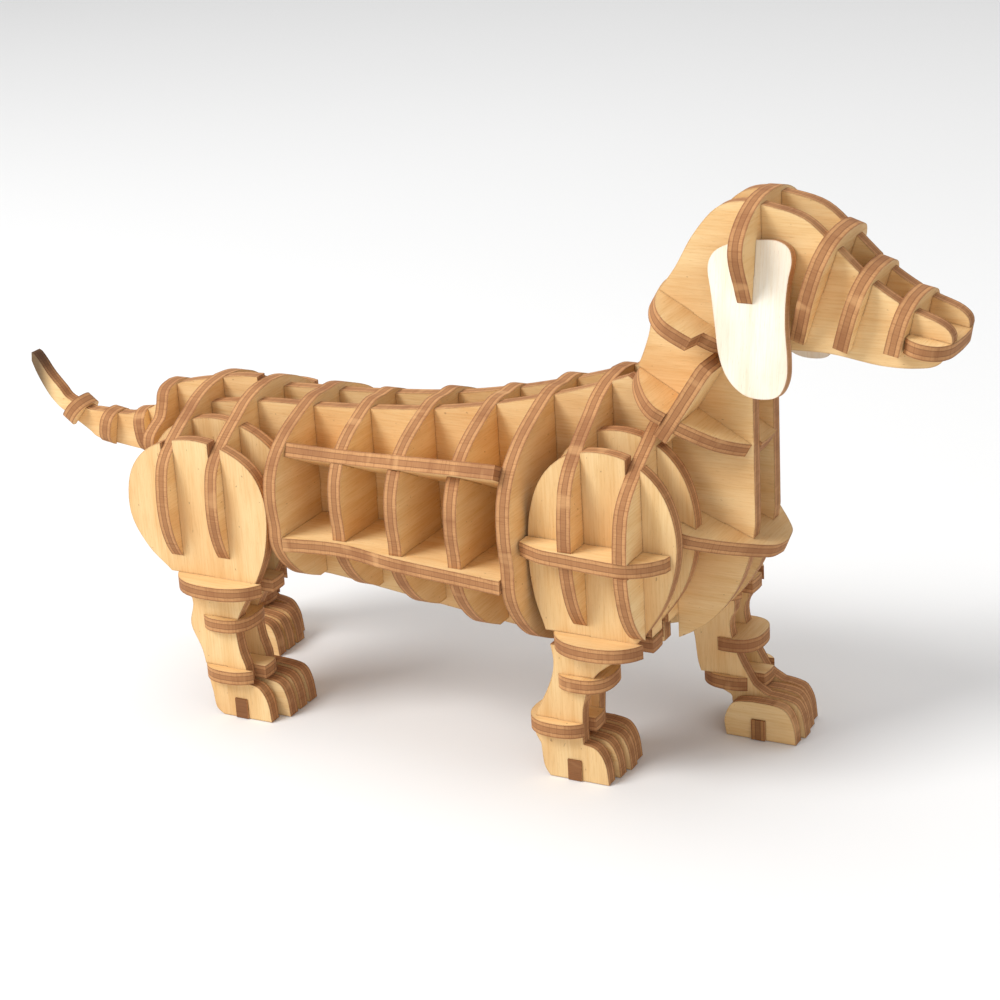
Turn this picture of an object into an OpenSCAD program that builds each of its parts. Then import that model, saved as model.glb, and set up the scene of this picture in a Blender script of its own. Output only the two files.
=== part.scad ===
// Slot-together dachshund: flat plywood pieces that cross each other in half-depth slots.
// X runs from tail to nose, Y to the dog's left, Z up; the origin is on the floor under the middle.

/* [Plywood] */
// Thickness of the plywood sheet
t = 2.4; // [2.2:0.1:2.5]
// Clearance on each face of a slot
fit = 0.05; // [0.03:0.01:0.08]
// Thickness of the ear sheet
ear_t = 2; // [1.6:0.1:2]

/* [Spacing] */
// Distance from the middle to the centre of each side panel
panel_y = 4.25; // [4.2:0.05:4.25]
// Distance from the middle to the centre of the inner leg plates
inner_leg_y = 10.5; // [10.4:0.05:10.6]
// Distance between neighbouring toe plates
toe_pitch = 3.2; // [3.1:0.05:3.3]

/* [Body] */
// Height at which body ribs and side panels meet halfway
lap_z = 39.5; // [38:0.5:41]
// Half width of the narrowest body rib, behind the ribcage
waist = 17.2; // [16.8:0.1:17.6]
// Half width of the foremost body rib
ribcage = 23.1; // [22.8:0.1:23.4]
// Lean of the upper stringers, outer edge up
stringer_lean = 27; // [25:1:29]

/* [Legs] */
// How far the front left foot is set forward of the front right one
front_step = 22.4; // [21:0.2:23]
// How far the rear left foot is set back from the rear right one
rear_step = 15.5; // [14:0.5:16]

/* [Head and neck] */
// Downward pitch of the two neck collars
collar_pitch = 30; // [29:0.5:31]
// Outward lean of the ears
ear_lean = 11; // [10:0.5:12]

/* [Hidden] */
SIDES = ["right", "left"];
FRONT = 0;
REAR = 1;
// Name, whether it is a front or a rear leg, side, pairs of height and forward set, and heights of
// the shin ring and the ankle ring
LEGS = [
    ["front_right", FRONT, "right", [[0, 0]], 17.6, 9.3],
    ["front_left", FRONT, "left", [[6, front_step], [8, 18.8], [21, 11], [25, 6], [38, 0]], 15, 8.2],
    ["rear_right", REAR, "right", [[0, 0]], 17.6, 8.2],
    ["rear_left", REAR, "left", [[6, -rear_step], [8, -17.5], [38, 0]], 17.6, 8.2]
];
LEG_PIECES = ["outer_plate", "inner_plate", "toe_plates", "knee_disc", "shin_ring", "ankle_ring"];

// Half the width of a slot, and a reach longer than any piece
slot = t / 2 + fit;
reach = 120;
panel_face = panel_y + t / 2;
outer_leg_y = inner_leg_y + 2 * toe_pitch;
outer_leg_face = outer_leg_y + t / 2;

// Ribs across the body: place along X, half width, top and bottom
HIP_REAR = [-46.6, 21, 56.5, 26.6];
HIP_FRONT = [-37, 20.4, 56.6, 26.4];
BODY_RIBS = [
    [-25.7, 19.4, 56, 24.6],
    [-14.5, waist, 56.3, 23.9],
    [-2.3, 19.8, 57.6, 22.8],
    [9.5, 21.3, 59.2, 21],
    [20, ribcage, 62, 20.4]
];
SHOULDER_REAR = [30.4, 22.7, 65.4, 26.4];
SHOULDER_FRONT = [40.5, 24.2, 61.7, 26.5];
TORSO_PROFILE = [[0, 1], [0.2, 1], [0.45, 0.95], [0.7, 0.88], [0.88, 0.79], [0.98, 0.68], [1, 0.55],
    [0.97, 0.42],
    [0.96, 0.3], [0.84, 0.18], [0.64, 0.07], [0.4, 0]];
LIMB_PROFILE = [[0, 1], [0.2, 0.985], [0.38, 0.945], [0.52, 0.89], [0.66, 0.835], [0.8, 0.77], [0.9, 0.71],
    [0.965, 0.63], [1, 0.47], [0.99, 0.32], [0.94, 0.19], [0.86, 0.09], [0.76, 0.02], [0.66, 0]];
RUMP_X = -56.6;
RUMP_HALF = [[0, 54.6], [2.6, 54.2], [4, 53.1], [4.6, 51.3], [5.6, 49.3], [7.6, 48.2], [9.3, 47], [9.8,
    45.4],
    [9, 44], [6, 43]];
tail_lap_z = 48;

// Pieces that lean in side view: X, Z and the slope of the plate
COLLAR_LOWER = [44.7, 61.6, -collar_pitch];
COLLAR_UPPER = [44.4, 76.8, -collar_pitch];
STRUT = [42.6, 58.6, 57.3];
CHEST = [49.8, 42.1, -22.5];
NOSE = [82.2, 75.7, -10];
SADDLES = [[68, 89.4, 71.3], [73.4, 84.5, 72.7], [79.7, 80.3, 78.3]];
SADDLE_HALVES = [
    [[2.2, 0], [2, 3], [1, 6.6], [-1.4, 8.9], [-4.6, 9.5], [-8.6, 9], [-12.6, 7.6], [-15.6, 6.6]],
    [[1.9, 0], [1.7, 3], [0.5, 6.2], [-1.6, 8], [-4.6, 8.5], [-8, 8.1], [-10.8, 7.5]],
    [[2.1, 0], [1.8, 3.4], [0.4, 6.6], [-2.2, 8.3], [-5.8, 8.8]]
];
SADDLE_LAPS = [-7, -5, -2.5];
TAIL_RINGS = [[-78.15, 46.8, 52], [-70.7, 44.55, 81], [-62.9, 44.8, 98]];
tail_ring_length = [2.5, 3.2, 4];
tail_ring_half = 3.4;
collar_lap = 1;
chest_lap = 0;
chest_leg_lap = -4.8;
nose_lap = 1.2;
strut_lap_y = 9.6;
strut_span = [0.4, 14.6];
strut_half = 12.8;

// Stringers between the first and the last body rib
stringer_x = [BODY_RIBS[0][0] + t / 2 + 0.1, BODY_RIBS[4][0] - t / 2 - 0.1];
upper_stringer_foot = [panel_face + 0.75, 45.7];
upper_stringer_lap = 6;
lower_stringer_z = 34.5;
lower_stringer_lap_y = 13;

// Shoulder shelves lie outside the outer leg plates
shelf_z = 40.9;
shelf_lap_y = 20.6;

// Ears hang in a slot of the ear rib
ear_rib_x = 56;
ear_foot = [7.6 - ear_t / 2, 90];
ear_lap = -5.3;

// Leg heights, and the middle of each leg's slots along X for a front and a rear leg
disc_z = 25;
disc_x = [32, -39.5];
shin_ring_x = [28, -40.6];
ankle_ring_x = [25.5, -38.7];
bar_x = [28.2, -36.4];
bar_h = 3.6;
toe_reach = [6.6, 7.8];
inner_toe_reach = [7.1, 7.8];
outer_toe_reach = [6, 5.9];
toe_top = 6.7;

// A smooth line through the points
function curve(p, n = 5) = concat(
    [for (i = [0:len(p) - 2])
        let (a = p[max(i - 1, 0)], b = p[i], c = p[i + 1], d = p[min(i + 2, len(p) - 1)])
        for (k = [0:n - 1])
            let (s = k / n)
            b + (c - a) * s / 2 + (2 * a - 5 * b + 4 * c - d) * s * s / 2 + (3 * b - a - 3 * c + d) * s * s * s / 2],
    [p[len(p) - 1]]);

// A half outline joined to its mirror image; axis 0 mirrors the first coordinate, axis 1 the second
function both(half, axis) = concat(half,
    [for (i = [len(half) - 1:-1:0])
        if (half[i][axis] != 0) axis == 0 ? [-half[i][0], half[i][1]] : [half[i][0], -half[i][1]]]);

// An oval between an ellipse (roundness 2) and a rectangle
function oval(a, b, roundness, n = 40) = [for (i = [0:n - 1])
    let (c = cos(360 * i / n), s = sin(360 * i / n))
    [a * sign(c) * pow(abs(c), 2 / roundness), b * sign(s) * pow(abs(s), 2 / roundness)]];

// Plates along the body, across it, level, and leaning in side view
module side_plate(y) {
    translate([0, y + t / 2, 0]) rotate([90, 0, 0]) linear_extrude(t) children();
}

module cross_plate(x) {
    translate([x - t / 2, 0, 0]) rotate([90, 0, 90]) linear_extrude(t) children();
}

module level_plate(z) {
    translate([0, 0, z - t / 2]) linear_extrude(t) children();
}

module leaning_frame(at) {
    translate([at[0], 0, at[1]]) rotate([0, -at[2], 0]) children();
}

module leaning_plate(at) {
    leaning_frame(at) translate([0, 0, -t / 2]) linear_extrude(t) children();
}

// Pieces are drawn on the left and mirrored to the right
module on_side(side) {
    if (side == "right") mirror([0, 1, 0]) children();
    else children();
}

// A block between two corners, and the room that a crossing plate needs
module block(low, high) {
    translate(low) cube(high - low);
}

module room_for_cross_plate(x, z_low, z_high) {
    block([x - slot, -reach, z_low], [x + slot, reach, z_high]);
}

module room_for_side_plate(y, z_low, z_high) {
    block([-reach, y - slot, z_low], [reach, y + slot, z_high]);
}

module room_for_side_plates(y, z_low, z_high) {
    for (s = [-1, 1]) room_for_side_plate(s * y, z_low, z_high);
}

module room_for_leaning_plate(at, u_low, u_high) {
    leaning_frame(at) block([u_low, -reach, -slot], [u_high, reach, slot]);
}

module grooves_in_leaning_plate(at, y, u_low, u_high) {
    leaning_frame(at) for (s = [-1, 1]) block([u_low, s * y - slot, -t], [u_high, s * y + slot, t]);
}

// Frame of an upper stringer: its first axis is X, its second runs outwards and up
module upper_stringer_frame() {
    translate([0, upper_stringer_foot[0], upper_stringer_foot[1]]) rotate([stringer_lean, 0, 0]) children();
}

// Frame of an ear: its face lies along X and an axis that runs up and inwards
module ear_frame() {
    translate([0, ear_foot[0], ear_foot[1]]) rotate([ear_lean, 0, 0]) children();
}

// Side panels: one outline from rump to nose
back_line = [[-48, 52.9], [-36, 54.4], [-23, 54.9], [-11, 55.7], [0, 56.9], [12, 59.2], [23, 62.1], [31,
    64.7],
    [35.5, 67], [38.2, 73], [39.4, 79], [43, 84.4], [46, 89.6], [49.8, 94], [53.6, 95.4], [58, 95], [64,
        93.4],
    [69, 89.2], [74, 84.7], [80, 81], [85.2, 78.9], [86.8, 76.6], [85, 73], [81.5, 71.9], [75.8, 71.8],
        [68, 72.9],
    [61.6, 72.9]];
throat_line = [[61.6, 72.9], [57.6, 72], [55.6, 69], [55.4, 64]];
keel_line = [[55.4, 43.5], [54.6, 39], [52.4, 32.8], [48.4, 27], [43.8, 23.4], [38, 20.8], [30, 19.3],
    [20, 19.4],
    [9.8, 20.2], [-10, 22.5], [-24, 24.1], [-38, 24.6], [-48, 27.6], [-53, 34], [-54.4, 42], [-52.6, 49],
        [-48, 52.9]];

module side_panel(side) {
    y = side == "left" ? panel_y : -panel_y;
    color("burlywood") difference() {
        side_plate(y) polygon(concat(curve(back_line), curve(throat_line), curve(keel_line)));
        for (rib = concat([HIP_REAR, HIP_FRONT, SHOULDER_REAR], BODY_RIBS))
            room_for_cross_plate(rib[0], lap_z - fit, reach);
        room_for_cross_plate(SHOULDER_FRONT[0], -reach, lap_z + fit);
        room_for_cross_plate(ear_rib_x, ear_foot[1] - fit, reach);
        room_for_leaning_plate(COLLAR_LOWER, -reach, collar_lap + fit);
        room_for_leaning_plate(COLLAR_UPPER, -reach, collar_lap + fit);
        room_for_leaning_plate(CHEST, chest_lap - fit, reach);
        room_for_leaning_plate(NOSE, nose_lap - fit, reach);
        for (i = [0:2]) room_for_leaning_plate(SADDLES[i], SADDLE_LAPS[i] - fit, reach);
    }
}

// Tail plate in the middle plane, held by the hip and rump ribs
tail_top = [[-38, 57.2], [-43, 56.9], [-46.3, 56.2], [-51.4, 55.3], [-55.3, 54.2], [-58.5, 51.8], [-61,
    49.4],
    [-65.9, 47.6], [-68.5, 47.3], [-74.3, 47.3], [-75.6, 47.4], [-79.9, 48.9], [-81.4, 50.5], [-83.4, 52.7],
    [-84.3, 53.9], [-85.2, 55.3], [-86.2, 56.6], [-86.9, 57]];
tail_bottom = [[-87.1, 55.4], [-86.4, 53.5], [-85.4, 51.5], [-83.9, 49.1], [-82.3, 47.4], [-81.3, 46.7],
    [-77.8, 44.6], [-75.7, 43.3], [-73.9, 42.1], [-69.3, 41.5], [-65, 41], [-58, 40.2], [-46, 40]];

module tail_plate() {
    front = HIP_FRONT[0] + t / 2;
    color("burlywood") difference() {
        side_plate(0) polygon(concat([[front, 57.4]], curve(tail_top), curve(tail_bottom), [[front, 41]]));
        for (x = [HIP_REAR[0], HIP_FRONT[0], RUMP_X]) room_for_cross_plate(x, tail_lap_z - fit, reach);
        for (at = TAIL_RINGS) leaning_frame(at) block([-fit, -reach, -slot], [reach / 10, reach, slot]);
    }
}

module tail_ring(i) {
    at = TAIL_RINGS[i - 1];
    color("peru") difference() {
        leaning_plate(at) polygon(oval(tail_ring_length[i - 1], tail_ring_half, 2.5));
        leaning_frame(at) block([-reach, -slot, -t], [fit, slot, t]);
    }
}

// Ribs
module rib_blank(rib, profile) {
    height = rib[2] - rib[3];
    cross_plate(rib[0])
        polygon(both(curve([for (p = profile) [p[0] * rib[1], rib[3] + p[1] * height]]), 0));
}

module rump_rib() {
    color("peru") difference() {
        cross_plate(RUMP_X) polygon(both(curve(RUMP_HALF), 0));
        room_for_side_plate(0, -reach, tail_lap_z + fit);
    }
}

module leg_slots_in_rib() {
    for (y = [inner_leg_y, outer_leg_y]) room_for_side_plates(y, -reach, lap_z + fit);
}

module hip_rib(rib) {
    color("peru") difference() {
        rib_blank(rib, LIMB_PROFILE);
        room_for_side_plates(panel_y, -reach, lap_z + fit);
        room_for_side_plate(0, -reach, tail_lap_z + fit);
        leg_slots_in_rib();
    }
}

module body_rib(i) {
    color("peru") difference() {
        rib_blank(BODY_RIBS[i - 1], TORSO_PROFILE);
        room_for_side_plates(panel_y, -reach, lap_z + fit);
        if (i > 1 && i < 5)
            for (side = SIDES) on_side(side) {
                upper_stringer_frame() block([-reach, upper_stringer_lap - fit, -slot], [reach, reach,
                    slot]);
                block([-reach, lower_stringer_lap_y - fit, lower_stringer_z - slot],
                    [reach, reach, lower_stringer_z + slot]);
            }
    }
}

module shelf_slots_in_rib() {
    for (side = SIDES) on_side(side)
        block([-reach, shelf_lap_y - fit, shelf_z - slot], [reach, reach, shelf_z + slot]);
}

module shoulder_rib_rear() {
    color("peru") difference() {
        rib_blank(SHOULDER_REAR, LIMB_PROFILE);
        room_for_side_plates(panel_y, -reach, lap_z + fit);
        leg_slots_in_rib();
        shelf_slots_in_rib();
    }
}

module shoulder_rib_front() {
    color("peru") difference() {
        rib_blank(SHOULDER_FRONT, LIMB_PROFILE);
        room_for_side_plates(panel_y, lap_z - fit, reach);
        leg_slots_in_rib();
        shelf_slots_in_rib();
    }
}

// Stringers along the flanks
module upper_stringer(side) {
    edge = [[stringer_x[0], 10.3], [-14, 9.8], [-2, 12.8], [10, 16.4], [stringer_x[1], 18.2]];
    color("wheat") on_side(side) upper_stringer_frame() difference() {
        translate([0, 0, -t / 2]) linear_extrude(t)
            polygon(concat([[stringer_x[1], 0], [stringer_x[0], 0]], curve(edge)));
        for (i = [1:3])
            block([BODY_RIBS[i][0] - slot, -t, -t], [BODY_RIBS[i][0] + slot, upper_stringer_lap + fit, t]);
    }
}

module lower_stringer(side) {
    edge = [[stringer_x[0], 18.8], [-14, 17.6], [-2, 20.2], [10, 21.8], [stringer_x[1], 23]];
    inner = panel_face + 0.15;
    color("wheat") on_side(side) difference() {
        level_plate(lower_stringer_z)
            polygon(concat([[stringer_x[1], inner], [stringer_x[0], inner]], curve(edge)));
        for (i = [1:3]) room_for_cross_plate_until(BODY_RIBS[i][0], lower_stringer_lap_y + fit);
    }
}

module room_for_cross_plate_until(x, y_high) {
    block([x - slot, -reach, 0], [x + slot, y_high, reach]);
}

// Chest and shoulders
module chest_plate() {
    half = curve([[-7.8, 14.6], [-5.4, 15], [-3, 14.6], [-0.4, 12.8], [2.4, 10.4], [5, 7.8], [7.2, 5.4],
        [8.7, 3.2],
        [9.3, 0]]);
    color("burlywood") difference() {
        leaning_plate(CHEST) polygon(both(half, 1));
        grooves_in_leaning_plate(CHEST, panel_y, -reach, chest_lap + fit);
        grooves_in_leaning_plate(CHEST, inner_leg_y, -reach, chest_leg_lap + fit);
    }
}

module shoulder_shelf(side) {
    inner = outer_leg_face + 0.1;
    edge = [[21.6, 20.8], [26, 22.7], [30.4, 23.2], [35, 23.7], [40.5, 23.9], [44, 22.2], [46.2, 19.6]];
    color("wheat") on_side(side) difference() {
        level_plate(shelf_z) polygon(concat([[46.4, inner], [21.6, inner]], curve(edge)));
        for (x = [SHOULDER_REAR[0], SHOULDER_FRONT[0]]) room_for_cross_plate_until(x, shelf_lap_y + fit);
    }
}

// Neck
module strut_room(side, y_low) {
    on_side(side) leaning_frame(STRUT) block([-reach, y_low, -slot], [reach, reach, slot]);
}

module neck_collar_lower() {
    half = curve([[-10.6, 0], [-10.4, 4.6], [-8.7, 8.6], [-6, 11.8], [-3.5, 13.3], [-1.5, 13.1], [1.7,
        12.5],
        [6.4, 10.5], [9, 8.4], [11.3, 5.6], [12.2, 3], [12.4, 0]]);
    color("burlywood") difference() {
        leaning_plate(COLLAR_LOWER) polygon(both(half, 1));
        grooves_in_leaning_plate(COLLAR_LOWER, panel_y, collar_lap - fit, reach);
        for (side = SIDES) strut_room(side, strut_lap_y - fit);
    }
}

module neck_collar_upper() {
    back = curve([[-6.3, 0], [-6.2, 2.5], [-5.4, 6.5], [-4.3, 9.4], [-2.8, 11.7], [-0.8, 13.1], [1.4, 13.3],
        [4.2, 12.9]]);
    front = curve([[4.6, 9], [6, 8.6], [7.4, 7.8], [8.6, 5.2], [9, 0]]);
    color("burlywood") difference() {
        leaning_plate(COLLAR_UPPER) polygon(both(concat(back, front), 1));
        grooves_in_leaning_plate(COLLAR_UPPER, panel_y, collar_lap - fit, reach);
    }
}

module neck_strut(side) {
    color("peru") on_side(side) difference() {
        leaning_plate(STRUT) polygon([[strut_span[0], panel_face + 0.1], [strut_span[1], panel_face + 0.1],
            [strut_span[1], strut_half - 0.8], [strut_span[1] - 0.8, strut_half], [strut_span[0],
                strut_half]]);
        leaning_frame(COLLAR_LOWER) block([-reach, 0, -slot], [reach, strut_lap_y + fit, slot]);
    }
}

// Head
module ear_rib() {
    half = curve([[0, 96.2], [4, 95.9], [7.4, 94.9], [10.2, 93.4], [12.3, 91.4], [13, 89.2], [12.4, 86.8],
        [11, 84], [10, 81.8], [9.2, 80.7], [8, 81.4], [6.8, 83]]);
    color("peru") difference() {
        cross_plate(ear_rib_x) polygon(both(half, 0));
        room_for_side_plates(panel_y, -reach, ear_foot[1] + fit);
        for (side = SIDES) on_side(side) ear_frame()
            block([-reach, -ear_t / 2 - fit, -reach], [reach, ear_t / 2 + fit, ear_lap + fit]);
    }
}

module ear(side) {
    outline = curve([[57.4, 0.1], [60.4, 0.2], [62.4, -0.8], [63, -2.8], [62.6, -5.6], [62.4, -9], [62.6,
        -13],
        [63.2, -17.4], [63.2, -20.6], [62, -23], [59.4, -23.7], [56.4, -23.2], [53.8, -21], [52.2, -17.6],
        [51.3, -13], [50.4, -8.2], [49.7, -4.6], [50.4, -2.4], [52.2, -1.1], [54.8, -0.4], [57.4, 0.1]]);
    color("ivory") on_side(side) ear_frame() difference() {
        translate([0, ear_t / 2, 0]) rotate([90, 0, 0]) linear_extrude(ear_t) polygon(outline);
        block([ear_rib_x - slot, -t, ear_lap - fit], [ear_rib_x + slot, t, reach]);
    }
}

module muzzle_saddle(i) {
    at = SADDLES[i - 1];
    color("peru") difference() {
        leaning_plate(at) polygon(both(curve(SADDLE_HALVES[i - 1]), 1));
        grooves_in_leaning_plate(at, panel_y, -reach, SADDLE_LAPS[i - 1] + fit);
    }
}

module nose_ring() {
    half = curve([[-2, 7.6], [-0.8, 8.4], [0.8, 8.7], [2.6, 8.1], [3.9, 6.6], [4.6, 4.2], [4.8, 0]]);
    color("peru") difference() {
        leaning_plate(NOSE) polygon(both(half, 1));
        grooves_in_leaning_plate(NOSE, panel_y, -reach, nose_lap + fit);
    }
}

// Legs. A leg that steps forward or back keeps its haunch and is set forward or back below it.
function lean(x, z, leg) = x + lookup(z, leg[3]);

function haunch(end) = end == FRONT
    ? [[22.2, 5.6], [21.1, 8], [21.6, 11], [24.2, 16.5], [25.2, 21], [24, 26.6], [22.4, 32], [21.7, 39],
        [22.4, 46.6],
        [24.8, 52.6], [29, 56.4], [34.4, 57.6], [40, 56.6], [44.4, 53.2], [46.9, 48], [47.4, 41.6],
            [45.6, 34.6],
        [42, 28.4], [37.4, 23.4], [32.6, 19.4], [30.4, 14.4], [29.9, 9.8], [29.9, toe_top]]
    : [[-42.2, 4], [-42.9, 7.6], [-43.6, 12], [-45.4, 16.6], [-44.6, 21.4], [-48, 26], [-52.6, 30.2],
        [-55.6, 36],
        [-55, 43], [-51.6, 47.8], [-46.4, 50.2], [-40.4, 50.9], [-34.2, 49.4], [-29.6, 46], [-27.7, 40.4],
        [-28.4, 33], [-30.8, 26.8], [-33.8, 22], [-36, 17.4], [-35.8, 13], [-34.8, 9.6], [-34.7, toe_top]];

// The inner plate's haunch stands a little higher than the outer one's
function raised(p, end) = p[1] < 30 ? p : [p[0] + 0.5,
    p[1] + (end == FRONT ? 1.3 : 2.2) * (p[1] - 30) / 24];

function toe(end, length) = [[bar_x[end] + 1.7, toe_top], [bar_x[end] + length - 2, 6.1],
    [bar_x[end] + length - 0.5, 3.7], [bar_x[end] + length, 0]];

function heel(end) = end == FRONT ? [[23.6, 0], [22.6, 1.8], [22.2, 5.6]] : [[-40.4, 0], [-41.8, 1.2],
    [-42.2, 4]];

module leg_plate(leg, y, inner) {
    end = leg[1];
    upper = inner ? [for (p = haunch(end)) raised(p, end)] : haunch(end);
    outline = concat(curve(upper), curve(toe(end, (inner ? inner_toe_reach : outer_toe_reach)[end])),
        curve(heel(end)));
    ribs = end == FRONT ? [SHOULDER_REAR[0], SHOULDER_FRONT[0]] : [HIP_REAR[0], HIP_FRONT[0]];
    color("wheat") on_side(leg[2]) difference() {
        side_plate(y) polygon([for (p = outline) [lean(p[0], p[1], leg), p[1]]]);
        for (x = ribs) room_for_cross_plate(x, lap_z - fit, reach);
        leg_ring_room(leg, disc_z, disc_x, -1);
        leg_ring_room(leg, leg[4], shin_ring_x, 1);
        leg_ring_room(leg, leg[5], ankle_ring_x, -1);
        room_for_cross_plate(lean(bar_x[end], 0, leg), -reach, bar_h + fit);
        if (inner && end == FRONT) room_for_leaning_plate(CHEST, chest_leg_lap - fit, reach);
    }
}

// Room for a level ring in a leg plate, behind (-1) or ahead (1) of the middle of the slot
module leg_ring_room(leg, z, middle, way) {
    x = lean(middle[leg[1]], z, leg) - way * fit;
    far = x + way * reach;
    block([min(x, far), 0, z - slot], [max(x, far), reach, z + slot]);
}

// A level ring round both leg plates: centre, half sizes, roundness, and the middle and way of its slots
module leg_ring(leg, z, centre, size, roundness, middle, way) {
    x = lean(middle[leg[1]], z, leg) - way * fit;
    far = x + way * reach;
    color("peru") on_side(leg[2]) difference() {
        level_plate(z) translate([lean(centre[0], z, leg), centre[1]]) polygon(oval(size[0], size[1],
            roundness));
        for (y = [inner_leg_y, outer_leg_y]) block([min(x, far), y - slot, 0], [max(x, far), y + slot,
            reach]);
    }
}

module knee_disc(leg) {
    leg_ring(leg, disc_z, [leg[1] == FRONT ? 33.4 : -38.4, 14.1], leg[1] == FRONT ? [8.5, 8.3] : [9.2,
        8.3], 2.4,
        disc_x, 1);
}

module shin_ring(leg) {
    leg_ring(leg, leg[4], [leg[1] == FRONT ? 29.6 : -38.9, 14.2], [4.8, 5.2], 2.5, shin_ring_x, -1);
}

module ankle_ring(leg) {
    leg_ring(leg, leg[5], [leg[1] == FRONT ? 25.4 : -38.2, 14.3], [5.8, 5.8], 2.4, ankle_ring_x, 1);
}

module toe_plates(leg) {
    end = leg[1];
    x = bar_x[end];
    outline = concat(curve([[x - 5.8, 0], [x - 6.1, 3], [x - 4.6, 6], [x - 1.4, toe_top]]),
        curve(toe(end, toe_reach[end])));
    color("burlywood") on_side(leg[2]) translate([lean(0, 0, leg), 0, 0]) difference() {
        for (y = [inner_leg_y - toe_pitch, inner_leg_y + toe_pitch]) side_plate(y) polygon(outline);
        room_for_cross_plate(x, -reach, bar_h + fit);
    }
}

module foot_bars() {
    for (leg = LEGS) {
        x = lean(bar_x[leg[1]], 0, leg);
        color("burlywood") on_side(leg[2])
            block([x - t / 2, inner_leg_y - toe_pitch - t / 2 - 0.4, 0], [x + t / 2,
                outer_leg_face + 0.3, bar_h]);
    }
}

side_panel("right");  // side_panel_right
side_panel("left");  // side_panel_left
tail_plate();
rump_rib();
hip_rib(HIP_REAR);  // hip_rib_rear
hip_rib(HIP_FRONT);  // hip_rib_front
for (i = [1:5]) body_rib(i);
shoulder_rib_rear();
shoulder_rib_front();
chest_plate();
for (side = SIDES) {
    upper_stringer(side);
    lower_stringer(side);
    shoulder_shelf(side);
    neck_strut(side);
    ear(side);
}
neck_collar_lower();
neck_collar_upper();
ear_rib();
nose_ring();
for (i = [1:3]) {
    muzzle_saddle(i);
    tail_ring(i);
}
for (leg = LEGS) {
    leg_plate(leg, outer_leg_y, false);
    leg_plate(leg, inner_leg_y, true);
    toe_plates(leg);
    knee_disc(leg);
    shin_ring(leg);
    ankle_ring(leg);
}
foot_bars();
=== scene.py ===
"""Looks of the slot-together plywood dachshund: cut plywood, floor, light and camera."""

import logging
import math
import random
from dataclasses import dataclass
from enum import Enum
from typing import Any, Sequence

import bpy
from mathutils import Matrix, Vector

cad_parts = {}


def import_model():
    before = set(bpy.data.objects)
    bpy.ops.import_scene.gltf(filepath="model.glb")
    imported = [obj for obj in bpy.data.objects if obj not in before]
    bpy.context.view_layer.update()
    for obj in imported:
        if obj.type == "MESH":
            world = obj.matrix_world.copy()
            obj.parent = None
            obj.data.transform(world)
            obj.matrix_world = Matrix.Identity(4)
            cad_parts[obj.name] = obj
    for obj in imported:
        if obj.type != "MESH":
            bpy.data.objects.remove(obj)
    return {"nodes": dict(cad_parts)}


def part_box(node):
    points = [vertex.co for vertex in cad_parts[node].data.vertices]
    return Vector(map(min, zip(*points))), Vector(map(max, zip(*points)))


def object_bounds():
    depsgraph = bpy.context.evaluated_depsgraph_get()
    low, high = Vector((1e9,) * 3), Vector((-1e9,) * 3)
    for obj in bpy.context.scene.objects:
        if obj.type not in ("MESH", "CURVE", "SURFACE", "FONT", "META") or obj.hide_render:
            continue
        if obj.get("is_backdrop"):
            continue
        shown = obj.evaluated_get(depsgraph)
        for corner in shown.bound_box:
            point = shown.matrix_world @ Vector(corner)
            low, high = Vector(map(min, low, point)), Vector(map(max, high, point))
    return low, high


LOG = logging.getLogger("plywood_dachshund")
MM = 0.001
SEED = 31


class Part(Enum):
    """What a CAD node is, as far as its finish goes."""

    PLATE = "plate"
    EAR = "ear"
    TAIL = "tail"
    BAR = "bar"


@dataclass(frozen=True)
class WoodFinish:
    """Colours and surface of one kind of cut sheet.

    Attributes:
        name: name of the finish.
        pale: light colour of the sheet's face.
        deep: dark colour of the face's grain.
        cut_pale: colour of the outer plies on a cut edge.
        cut_deep: colour of the core ply on a cut edge.
        rim: strength of the scorched line along the cut, 0 to 1.
        speck: strength of the dark specks in the face, 0 to 1.
    """

    name: str
    pale: str
    deep: str
    cut_pale: str
    cut_deep: str
    rim: float
    speck: float


PLYWOOD = WoodFinish("plywood", "#EFCF9A", "#DFB478", "#C4905F", "#83502F", 0.6, 0.45)
VENEER = WoodFinish("ear_veneer", "#F6F1E4", "#EDE0C6", "#CDA073", "#9A6741", 0.3, 0.15)
SCORCHED = WoodFinish("scorched", "#C9996A", "#A06F45", "#A87748", "#6B4227", 0.6, 0.6)

PORE = "#A97A4C"
CLOUD = "#E2AE74"
SPECK = "#7B4C2C"
GLUE = "#5A3320"
BORDER = "#6B3E26"
BARE = "#D9A873"
RIM = "#8A5633"
CHAR = "#3A2418"
CHAR_FULL = 0.0012
CHAR_END = 0.005
SURROUND = "#F4F4F6"
SURROUND_STRENGTH = 0.52

FINISHES: dict[Part, WoodFinish] = {
    Part.PLATE: PLYWOOD,
    Part.EAR: VENEER,
    Part.TAIL: PLYWOOD,
    Part.BAR: SCORCHED,
}


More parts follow.
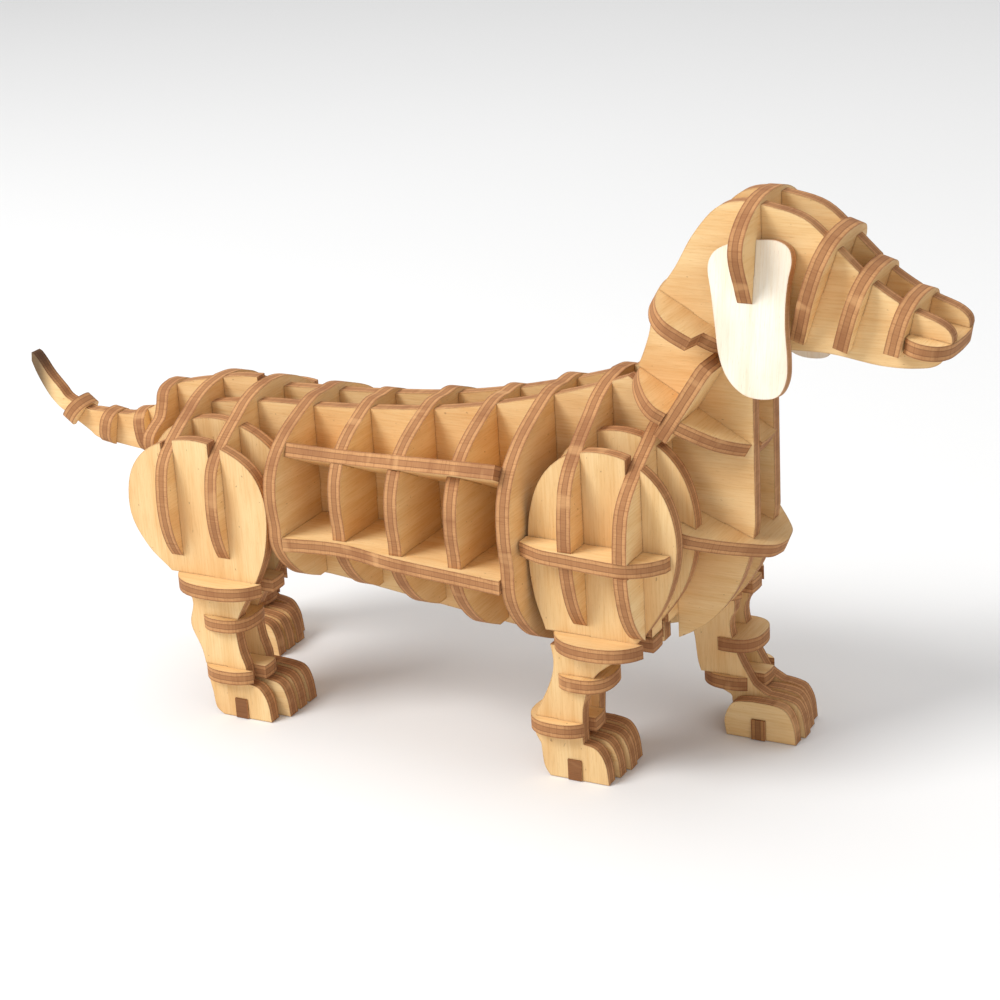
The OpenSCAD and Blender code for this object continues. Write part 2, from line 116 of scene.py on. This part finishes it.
@dataclass(frozen=True)
class CameraSetup:
    """A camera's place in millimetres, its direction in degrees and its lens in millimetres."""

    location: tuple[float, float, float] = (189.75, -336.2, 186.1)
    azimuth: float = 28.48
    elevation: float = 20.94
    roll: float = -3.38
    lens: float = 88.02
    sensor: float = 36.0

    def matrix(self) -> Matrix:
        """Works out the camera's matrix.

        Returns:
            The world matrix, in metres.
        """
        a, e, k = (math.radians(v) for v in (self.azimuth, self.elevation, self.roll))
        look = Vector((-math.sin(a) * math.cos(e), math.cos(a) * math.cos(e), -math.sin(e)))
        right = Vector((math.cos(a), math.sin(a), 0))
        up = right.cross(look)
        turned_right = right * math.cos(k) + up * math.sin(k)
        turned_up = up * math.cos(k) - right * math.sin(k)
        turn = Matrix((turned_right, turned_up, -look)).transposed().to_4x4()
        return Matrix.Translation(Vector(self.location) * MM) @ turn


@dataclass(frozen=True)
class SoftLight:
    """A square area light aimed at the middle of the object."""

    name: str
    location: tuple[float, float, float]
    size: float
    power: float


LIGHTS: tuple[SoftLight, ...] = (
    SoftLight("key", (-0.5, -0.6, 0.8), 0.5, 10.6),
    SoftLight("fill", (0.75, -0.6, 0.4), 0.8, 1.3),
    SoftLight("top", (-0.1, 0.25, 1.1), 0.9, 4.0),
)


def linear(code: str) -> tuple[float, float, float, float]:
    """Turns a hex colour into a linear one.

    Args:
        code: colour as #RRGGBB.

    Returns:
        Red, green, blue and alpha, linear.
    """
    parts = [int(code[i : i + 2], 16) / 255 for i in (1, 3, 5)]
    r, g, b = (v / 12.92 if v <= 0.04045 else ((v + 0.055) / 1.055) ** 2.4 for v in parts)
    return (r, g, b, 1.0)


class Graph:
    """Adds and links the nodes of one node tree."""

    def __init__(self, tree: bpy.types.NodeTree) -> None:
        """Empties the tree.

        Args:
            tree: node tree of a material or a group.
        """
        self.tree = tree
        tree.nodes.clear()

    def add(self, kind: str, inputs: dict[Any, Any] | None = None, **props: Any) -> bpy.types.Node:
        """Adds a node.

        Args:
            kind: node type without its ShaderNode prefix.
            inputs: socket name or number, and a value or an output to link from.
            props: node properties to set first.

        Returns:
            The new node.
        """
        prefix = "" if kind.startswith("Node") else "ShaderNode"
        node = self.tree.nodes.new(prefix + kind)
        for key, value in props.items():
            setattr(node, key, value)
        for key, value in (inputs or {}).items():
            if isinstance(value, bpy.types.NodeSocket):
                self.tree.links.new(value, node.inputs[key])
            else:
                node.inputs[key].default_value = value
        return node

    def math(self, operation: str, a: Any, b: Any = 0.0) -> bpy.types.NodeSocket:
        """Adds a maths node.

        Args:
            operation: name of the operation.
            a: first value or output.
            b: second value or output.

        Returns:
            The node's output.
        """
        return self.add("Math", {0: a, 1: b}, operation=operation).outputs[0]

    def ramp(self, value: Any, low: float, high: float, start: float = 0.0, end: float = 1.0) -> Any:
        """Adds a smooth, clamped map of one range onto another.

        Args:
            value: output to map.
            low: value that gives start.
            high: value that gives end.
            start: result at low.
            end: result at high.

        Returns:
            The mapped output.
        """
        sockets = {"Value": value, "From Min": low, "From Max": high, "To Min": start, "To Max": end}
        return self.add("MapRange", sockets, interpolation_type="SMOOTHSTEP").outputs["Result"]

    def noise(self, place: Any, stretch: Sequence[float], detail: float = 3.0) -> Any:
        """Adds noise that is stretched along the axes.

        Args:
            place: position in millimetres.
            stretch: cells per millimetre along each axis.
            detail: octaves of the noise.

        Returns:
            The noise value, 0 to 1.
        """
        scaled = self.add("VectorMath", {0: place, 1: tuple(stretch)}, operation="MULTIPLY").outputs[0]
        inputs = {"Vector": scaled, "Scale": 1.0, "Detail": detail, "Roughness": 0.6}
        return self.add("TexNoise", inputs).outputs["Fac"]

    def mix(self, factor: Any, a: Any, b: Any, blend: str = "MIX") -> Any:
        """Mixes two colours.

        Args:
            factor: share of the second colour.
            a: first colour or output.
            b: second colour or output.
            blend: blend type.

        Returns:
            The mixed colour.
        """
        node = self.add("Mix", data_type="RGBA", blend_type=blend, clamp_factor=True)
        for index, value in ((0, factor), (6, a), (7, b)):
            if isinstance(value, bpy.types.NodeSocket):
                self.tree.links.new(value, node.inputs[index])
            else:
                node.inputs[index].default_value = value
        return node.outputs[2]


def new_group(name: str, inputs: dict[str, str], outputs: dict[str, str]) -> tuple[Graph, Any, Any]:
    """Makes an empty shader node group.

    Args:
        name: name of the group.
        inputs: name and kind of each input.
        outputs: name and kind of each output.

    Returns:
        The graph, the input node's sockets and the output node's sockets.
    """
    tree = bpy.data.node_groups.new(name, "ShaderNodeTree")
    for way, sockets in (("INPUT", inputs), ("OUTPUT", outputs)):
        for label, kind in sockets.items():
            tree.interface.new_socket(label, in_out=way, socket_type="NodeSocket" + kind)
    graph = Graph(tree)
    return graph, graph.add("NodeGroupInput").outputs, graph.add("NodeGroupOutput").inputs


class WoodGroups:
    """The shader node groups that all wood materials share."""

    def __init__(self) -> None:
        """Builds the groups."""
        self.face = self._face()
        self.cut = self._cut()
        self.rim = self._rim()

    @staticmethod
    def _face() -> bpy.types.NodeTree:
        """Builds the sheet's face: broad figure, fibres, pores and specks.

        Returns:
            The node group.
        """
        kinds = {"Position": "Vector", "Pale": "Color", "Deep": "Color", "Speck": "Float"}
        results = {"Color": "Color", "Height": "Float", "Roughness": "Float"}
        g, given, out = new_group("plywood_face", kinds, results)
        place = given["Position"]
        figure = g.noise(place, (0.035, 0.32, 0.1), 2.0)
        fibre = g.noise(place, (0.16, 3.4, 0.8), 4.0)
        pore = g.noise(place, (0.55, 9.0, 1.0), 2.0)
        cloud = g.noise(place, (0.05, 0.07, 0.05), 2.0)
        grain = g.math("ADD", g.ramp(figure, 0.35, 0.68, 0.0, 0.5), g.ramp(fibre, 0.4, 0.7, 0.0, 0.45))
        colour = g.mix(grain, given["Pale"], given["Deep"])
        dark_pore = g.math("MULTIPLY", g.ramp(pore, 0.6, 0.74), 0.3)
        colour = g.mix(dark_pore, colour, linear(PORE))
        colour = g.mix(g.ramp(cloud, 0.35, 0.75, 0.0, 0.28), colour, linear(CLOUD), "MULTIPLY")
        speck = g.ramp(g.noise(place, (1.1, 1.6, 1.1), 1.0), 0.74, 0.8)
        colour = g.mix(g.math("MULTIPLY", speck, given["Speck"]), colour, linear(SPECK))
        height = g.math("SUBTRACT", g.math("MULTIPLY", fibre, 0.6), g.math("MULTIPLY", pore, 0.5))
        for label, value in (("Color", colour), ("Height", height)):
            g.tree.links.new(value, out[label])
        g.tree.links.new(g.ramp(fibre, 0.3, 0.7, 0.6, 0.74), out["Roughness"])
        return g.tree

    @staticmethod
    def _cut() -> bpy.types.NodeTree:
        """Builds the laser-cut edge: three plies, glue lines, scorch and the cut's fine lines.

        Returns:
            The node group.
        """
        kinds = {"Position": "Vector", "Pale": "Color", "Deep": "Color", "Half": "Float", "Pitch": "Float"}
        results = {"Color": "Color", "Height": "Float", "Roughness": "Float"}
        g, given, out = new_group("plywood_cut", kinds, results)
        place = given["Position"]
        depth = g.add("SeparateXYZ", {0: place}).outputs["Z"]
        folded = g.math("ABSOLUTE", g.math("SUBTRACT", g.math("ABSOLUTE", depth), given["Pitch"]))
        wander = g.math("MULTIPLY", g.math("SUBTRACT", g.noise(place, (0.5, 0.5, 0.1)), 0.5), 0.18)
        level = g.math("ADD", g.math("DIVIDE", folded, given["Half"]), wander)
        core = g.ramp(level, 0.3, 0.42, 1.0, 0.0)
        border = g.ramp(level, 0.72, 0.98)
        glue = g.math("SUBTRACT", 1.0, g.ramp(g.math("ABSOLUTE", g.math("SUBTRACT", level, 0.37)), 0.02, 0.09))
        lines = g.noise(place, (5.0, 5.0, 0.25), 3.0)
        scorch = g.noise(place, (0.12, 0.12, 0.06), 3.0)
        colour = g.mix(g.math("MULTIPLY", core, 0.45), given["Pale"], given["Deep"])
        colour = g.mix(g.math("MULTIPLY", glue, 0.55), colour, linear(GLUE))
        colour = g.mix(g.math("MULTIPLY", border, 0.6), colour, linear(BORDER))
        colour = g.mix(g.ramp(lines, 0.45, 0.75, 0.0, 0.45), colour, given["Deep"])
        colour = g.mix(g.ramp(scorch, 0.42, 0.7, 0.0, 0.5), colour, given["Deep"])
        bare = g.math("MULTIPLY", g.ramp(g.noise(place, (0.22, 0.22, 0.1), 2.0), 0.6, 0.72), 0.4)
        colour = g.mix(bare, colour, linear(BARE))
        g.tree.links.new(colour, out["Color"])
        g.tree.links.new(g.math("SUBTRACT", lines, g.math("MULTIPLY", glue, 0.5)), out["Height"])
        g.tree.links.new(g.ramp(lines, 0.3, 0.7, 0.72, 0.86), out["Roughness"])
        return g.tree

    @staticmethod
    def _rim() -> bpy.types.NodeTree:
        """Builds the mask of the scorched line beside each cut.

        Returns:
            The node group.
        """
        g, given, out = new_group("scorched_rim", {"Position": "Vector", "Radius": "Float"}, {"Mask": "Float"})
        rounded = g.add("Bevel", {"Radius": given["Radius"]}, samples=4).outputs[0]
        flat = g.add("NewGeometry").outputs["True Normal"]
        same = g.add("VectorMath", {0: rounded, 1: flat}, operation="DOT_PRODUCT").outputs["Value"]
        broken = g.noise(given["Position"], (0.4, 0.4, 0.4), 3.0)
        mask = g.math("MULTIPLY", g.ramp(same, 0.99, 0.86), g.ramp(broken, 0.3, 0.65, 0.35, 1.0))
        g.tree.links.new(mask, out["Mask"])
        return g.tree


@dataclass(frozen=True)
class PlateFrame:
    """How one cut sheet lies: its normal, its grain, its middle and the pitch of a pair."""

    normal: Vector
    grain: Vector
    middle: float
    half: float
    pitch: float

    @classmethod
    def measure(cls, obj: bpy.types.Object, sheet: float) -> "PlateFrame":
        """Measures a CAD node that is one flat plate, or a pair of the same plates.

        Args:
            obj: the CAD node.
            sheet: thickness of the sheet, in metres.

        Returns:
            The plate's frame, in metres.
        """
        areas: dict[tuple[float, float, float], float] = {}
        for face in obj.data.polygons:
            n = face.normal
            lead = max(n, key=abs)
            key = tuple(round(v * (1 if lead > 0 else -1), 2) + 0.0 for v in n)
            areas[key] = areas.get(key, 0.0) + face.area
        normal = Vector(max(areas, key=lambda k: areas[k])).normalized()
        points = [v.co for v in obj.data.vertices]
        levels = [normal.dot(p) for p in points]
        low, high = min(levels), max(levels)
        thick = min(sheet, high - low)
        choices = []
        for axis in (Vector((1, 0, 0)), Vector((0, 1, 0)), Vector((0, 0, 1))):
            flat = axis - normal * normal.dot(axis)
            if flat.length > 0.5:
                flat.normalize()
                reach = [flat.dot(p) for p in points]
                choices.append((max(reach) - min(reach), flat))
        grain = max(choices, key=lambda c: c[0])[1]
        return cls(normal, grain, (low + high) / 2, thick / 2, max(0.0, (high - low - thick) / 2))

    def turn(self) -> Matrix:
        """Works out the rotation into the plate's own axes.

        Returns:
            Rotation whose rows are the grain, the direction across it and the normal.
        """
        return Matrix((self.grain, self.normal.cross(self.grain), self.normal))


class WoodMaterials:
    """Makes and assigns one material for each CAD node, from the shared groups."""

    RIM_RADIUS = 0.0004

    def __init__(self, groups: WoodGroups) -> None:
        """Keeps the groups.

        Args:
            groups: shared node groups.
        """
        self.groups = groups
        self.random = random.Random(SEED)

    def _group(self, graph: Graph, tree: bpy.types.NodeTree, inputs: dict[str, Any]) -> Any:
        """Places a group in a material.

        Args:
            graph: the material's graph.
            tree: the group.
            inputs: its values and links.

        Returns:
            The group node's outputs.
        """
        node = graph.add("Group", node_tree=tree)
        for key, value in inputs.items():
            if isinstance(value, bpy.types.NodeSocket):
                graph.tree.links.new(value, node.inputs[key])
            else:
                node.inputs[key].default_value = value
        return node.outputs

    def make(self, name: str, plate: PlateFrame, part: Part) -> bpy.types.Material:
        """Makes the material of one plate.

        Args:
            name: name of the CAD node.
            plate: how the plate lies.
            part: what the plate is.

        Returns:
            The material.
        """
        finish = FINISHES[part]
        material = bpy.data.materials.new(f"{finish.name}_{name}")
        material.use_nodes = True
        g = Graph(material.node_tree)
        shift = Vector((self.random.uniform(-400, 400), self.random.uniform(-400, 400), -plate.middle / MM))
        coords = g.add("TexCoord").outputs
        mapped = {"Vector": coords["Object"], "Location": shift, "Rotation": plate.turn().to_euler("XYZ")}
        place = g.add("Mapping", {**mapped, "Scale": (1 / MM,) * 3}, vector_type="POINT").outputs[0]
        along = g.add("VectorMath", {0: coords["Normal"], 1: plate.normal}, operation="DOT_PRODUCT")
        facing = g.ramp(g.math("ABSOLUTE", along.outputs["Value"]), 0.8, 0.9)
        face = {"Position": place, "Pale": linear(finish.pale), "Deep": linear(finish.deep)}
        face_out = self._group(g, self.groups.face, {**face, "Speck": finish.speck})
        cut = {"Position": place, "Pale": linear(finish.cut_pale), "Deep": linear(finish.cut_deep)}
        sizes = {"Half": plate.half / MM, "Pitch": plate.pitch / MM}
        cut_out = self._group(g, self.groups.cut, {**cut, **sizes})
        rim = self._group(g, self.groups.rim, {"Position": place, "Radius": self.RIM_RADIUS})["Mask"]
        tone = self.random.uniform(0.93, 1.0)
        board = g.mix(1.0, face_out["Color"], (tone, tone * 0.99, tone * 0.97, 1.0), "MULTIPLY")
        board = g.mix(g.math("MULTIPLY", rim, finish.rim), board, linear(RIM))
        colour = g.mix(facing, cut_out["Color"], board)
        if part is Part.TAIL:
            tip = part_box("tail_plate")[0].x
            x = g.add("SeparateXYZ", {0: coords["Object"]}).outputs["X"]
            colour = g.mix(g.ramp(x, tip + CHAR_FULL, tip + CHAR_END, 0.85, 0.0), colour, linear(CHAR))
        height = g.add("Mix", {0: facing, 2: cut_out["Height"], 3: face_out["Height"]}).outputs[0]
        rough = g.add("Mix", {0: facing, 2: cut_out["Roughness"], 3: face_out["Roughness"]}).outputs[0]
        bump = g.add("Bump", {"Height": height, "Strength": 0.5, "Distance": 0.00012}).outputs[0]
        sockets = {"Base Color": colour, "Roughness": rough, "Normal": bump, "Specular IOR Level": 0.3}
        shader = g.add("BsdfPrincipled", sockets)
        g.add("OutputMaterial", {"Surface": shader.outputs[0]})
        return material

    def dress(self, obj: bpy.types.Object, sheet: float) -> None:
        """Gives a CAD node its own wood.

        Args:
            obj: the CAD node.
            sheet: thickness of the sheet, in metres.
        """
        part = part_of(obj.name)
        plate = PlateFrame.measure(obj, sheet)
        material = self.make(obj.name, plate, part)
        obj.data.materials.clear()
        obj.data.materials.append(material)
        LOG.info("%s: %s, normal %s", obj.name, FINISHES[part].name, tuple(round(v, 2) for v in plate.normal))


def part_of(name: str) -> Part:
    """Tells what a CAD node is.

    Args:
        name: name of the node.

    Returns:
        Its part.
    """
    special = {"ear_right": Part.EAR, "ear_left": Part.EAR, "tail_plate": Part.TAIL, "foot_bars": Part.BAR}
    return special.get(name, Part.PLATE)


class Studio:
    """The floor, the light and the camera round the object."""

    FLOOR_SIZE = 8.0

    def floor(self) -> None:
        """Adds a plain pale floor."""
        bpy.ops.mesh.primitive_plane_add(size=self.FLOOR_SIZE, location=(0, 0, -0.0001))
        plane = bpy.context.active_object
        plane.name = "floor"
        material = bpy.data.materials.new("pale_paper")
        material.use_nodes = True
        g = Graph(material.node_tree)
        place = g.add("TexCoord").outputs["Object"]
        tone = g.add("TexNoise", {"Vector": place, "Scale": 3.0, "Detail": 2.0}).outputs["Fac"]
        colour = g.mix(tone, linear("#E9E9E8"), linear("#EDEDEC"))
        shader = g.add("BsdfPrincipled", {"Base Color": colour, "Roughness": 0.9, "Specular IOR Level": 0.1})
        g.add("OutputMaterial", {"Surface": shader.outputs[0]})
        plane.data.materials.append(material)
        plane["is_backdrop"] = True
        LOG.info("floor added")

    def lights(self, target: Vector) -> None:
        """Adds the soft lights and an even pale surround.

        Args:
            target: point that the lights are aimed at.
        """
        for spec in LIGHTS:
            bpy.ops.object.light_add(type="AREA", location=spec.location)
            lamp = bpy.context.active_object
            lamp.name = spec.name
            lamp.data.size = spec.size
            lamp.data.energy = spec.power
            lamp.rotation_euler = (target - Vector(spec.location)).to_track_quat("-Z", "Y").to_euler()
            lamp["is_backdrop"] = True
            LOG.info("light %s added", spec.name)
        world = bpy.data.worlds.new("surround")
        bpy.context.scene.world = world
        world.use_nodes = True
        background = world.node_tree.nodes["Background"]
        background.inputs["Color"].default_value = linear(SURROUND)
        background.inputs["Strength"].default_value = SURROUND_STRENGTH

    def camera(self, setup: CameraSetup) -> None:
        """Adds the camera and makes it the scene's camera.

        Args:
            setup: place, direction and lens.
        """
        bpy.ops.object.camera_add()
        camera = bpy.context.active_object
        camera.name = "view"
        camera.data.sensor_width = setup.sensor
        camera.data.lens = setup.lens
        camera.data.clip_start = 0.01
        camera.matrix_world = setup.matrix()
        bpy.context.scene.camera = camera
        LOG.info("camera added")


def corners() -> list[list[float]]:
    """Measures the shown object.

    Returns:
        Its lowest and highest corners, in metres.
    """
    return [list(corner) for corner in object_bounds()]


def main() -> None:
    """Loads the frame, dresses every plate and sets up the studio."""
    logging.basicConfig(level=logging.INFO, format="%(name)s %(message)s")
    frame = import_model()
    cad_box = corners()
    bpy.ops.object.select_all(action="DESELECT")
    bpy.context.scene.view_settings.view_transform = "Standard"
    low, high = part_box("side_panel_right")
    sheet = high.y - low.y
    materials = WoodMaterials(WoodGroups())
    for name in sorted(frame["nodes"]):
        materials.dress(frame["nodes"][name], sheet)
    studio = Studio()
    studio.floor()
    middle = (Vector(cad_box[0]) + Vector(cad_box[1])) / 2
    studio.lights(middle)
    studio.camera(CameraSetup())


if __name__ == "__main__":
    main()
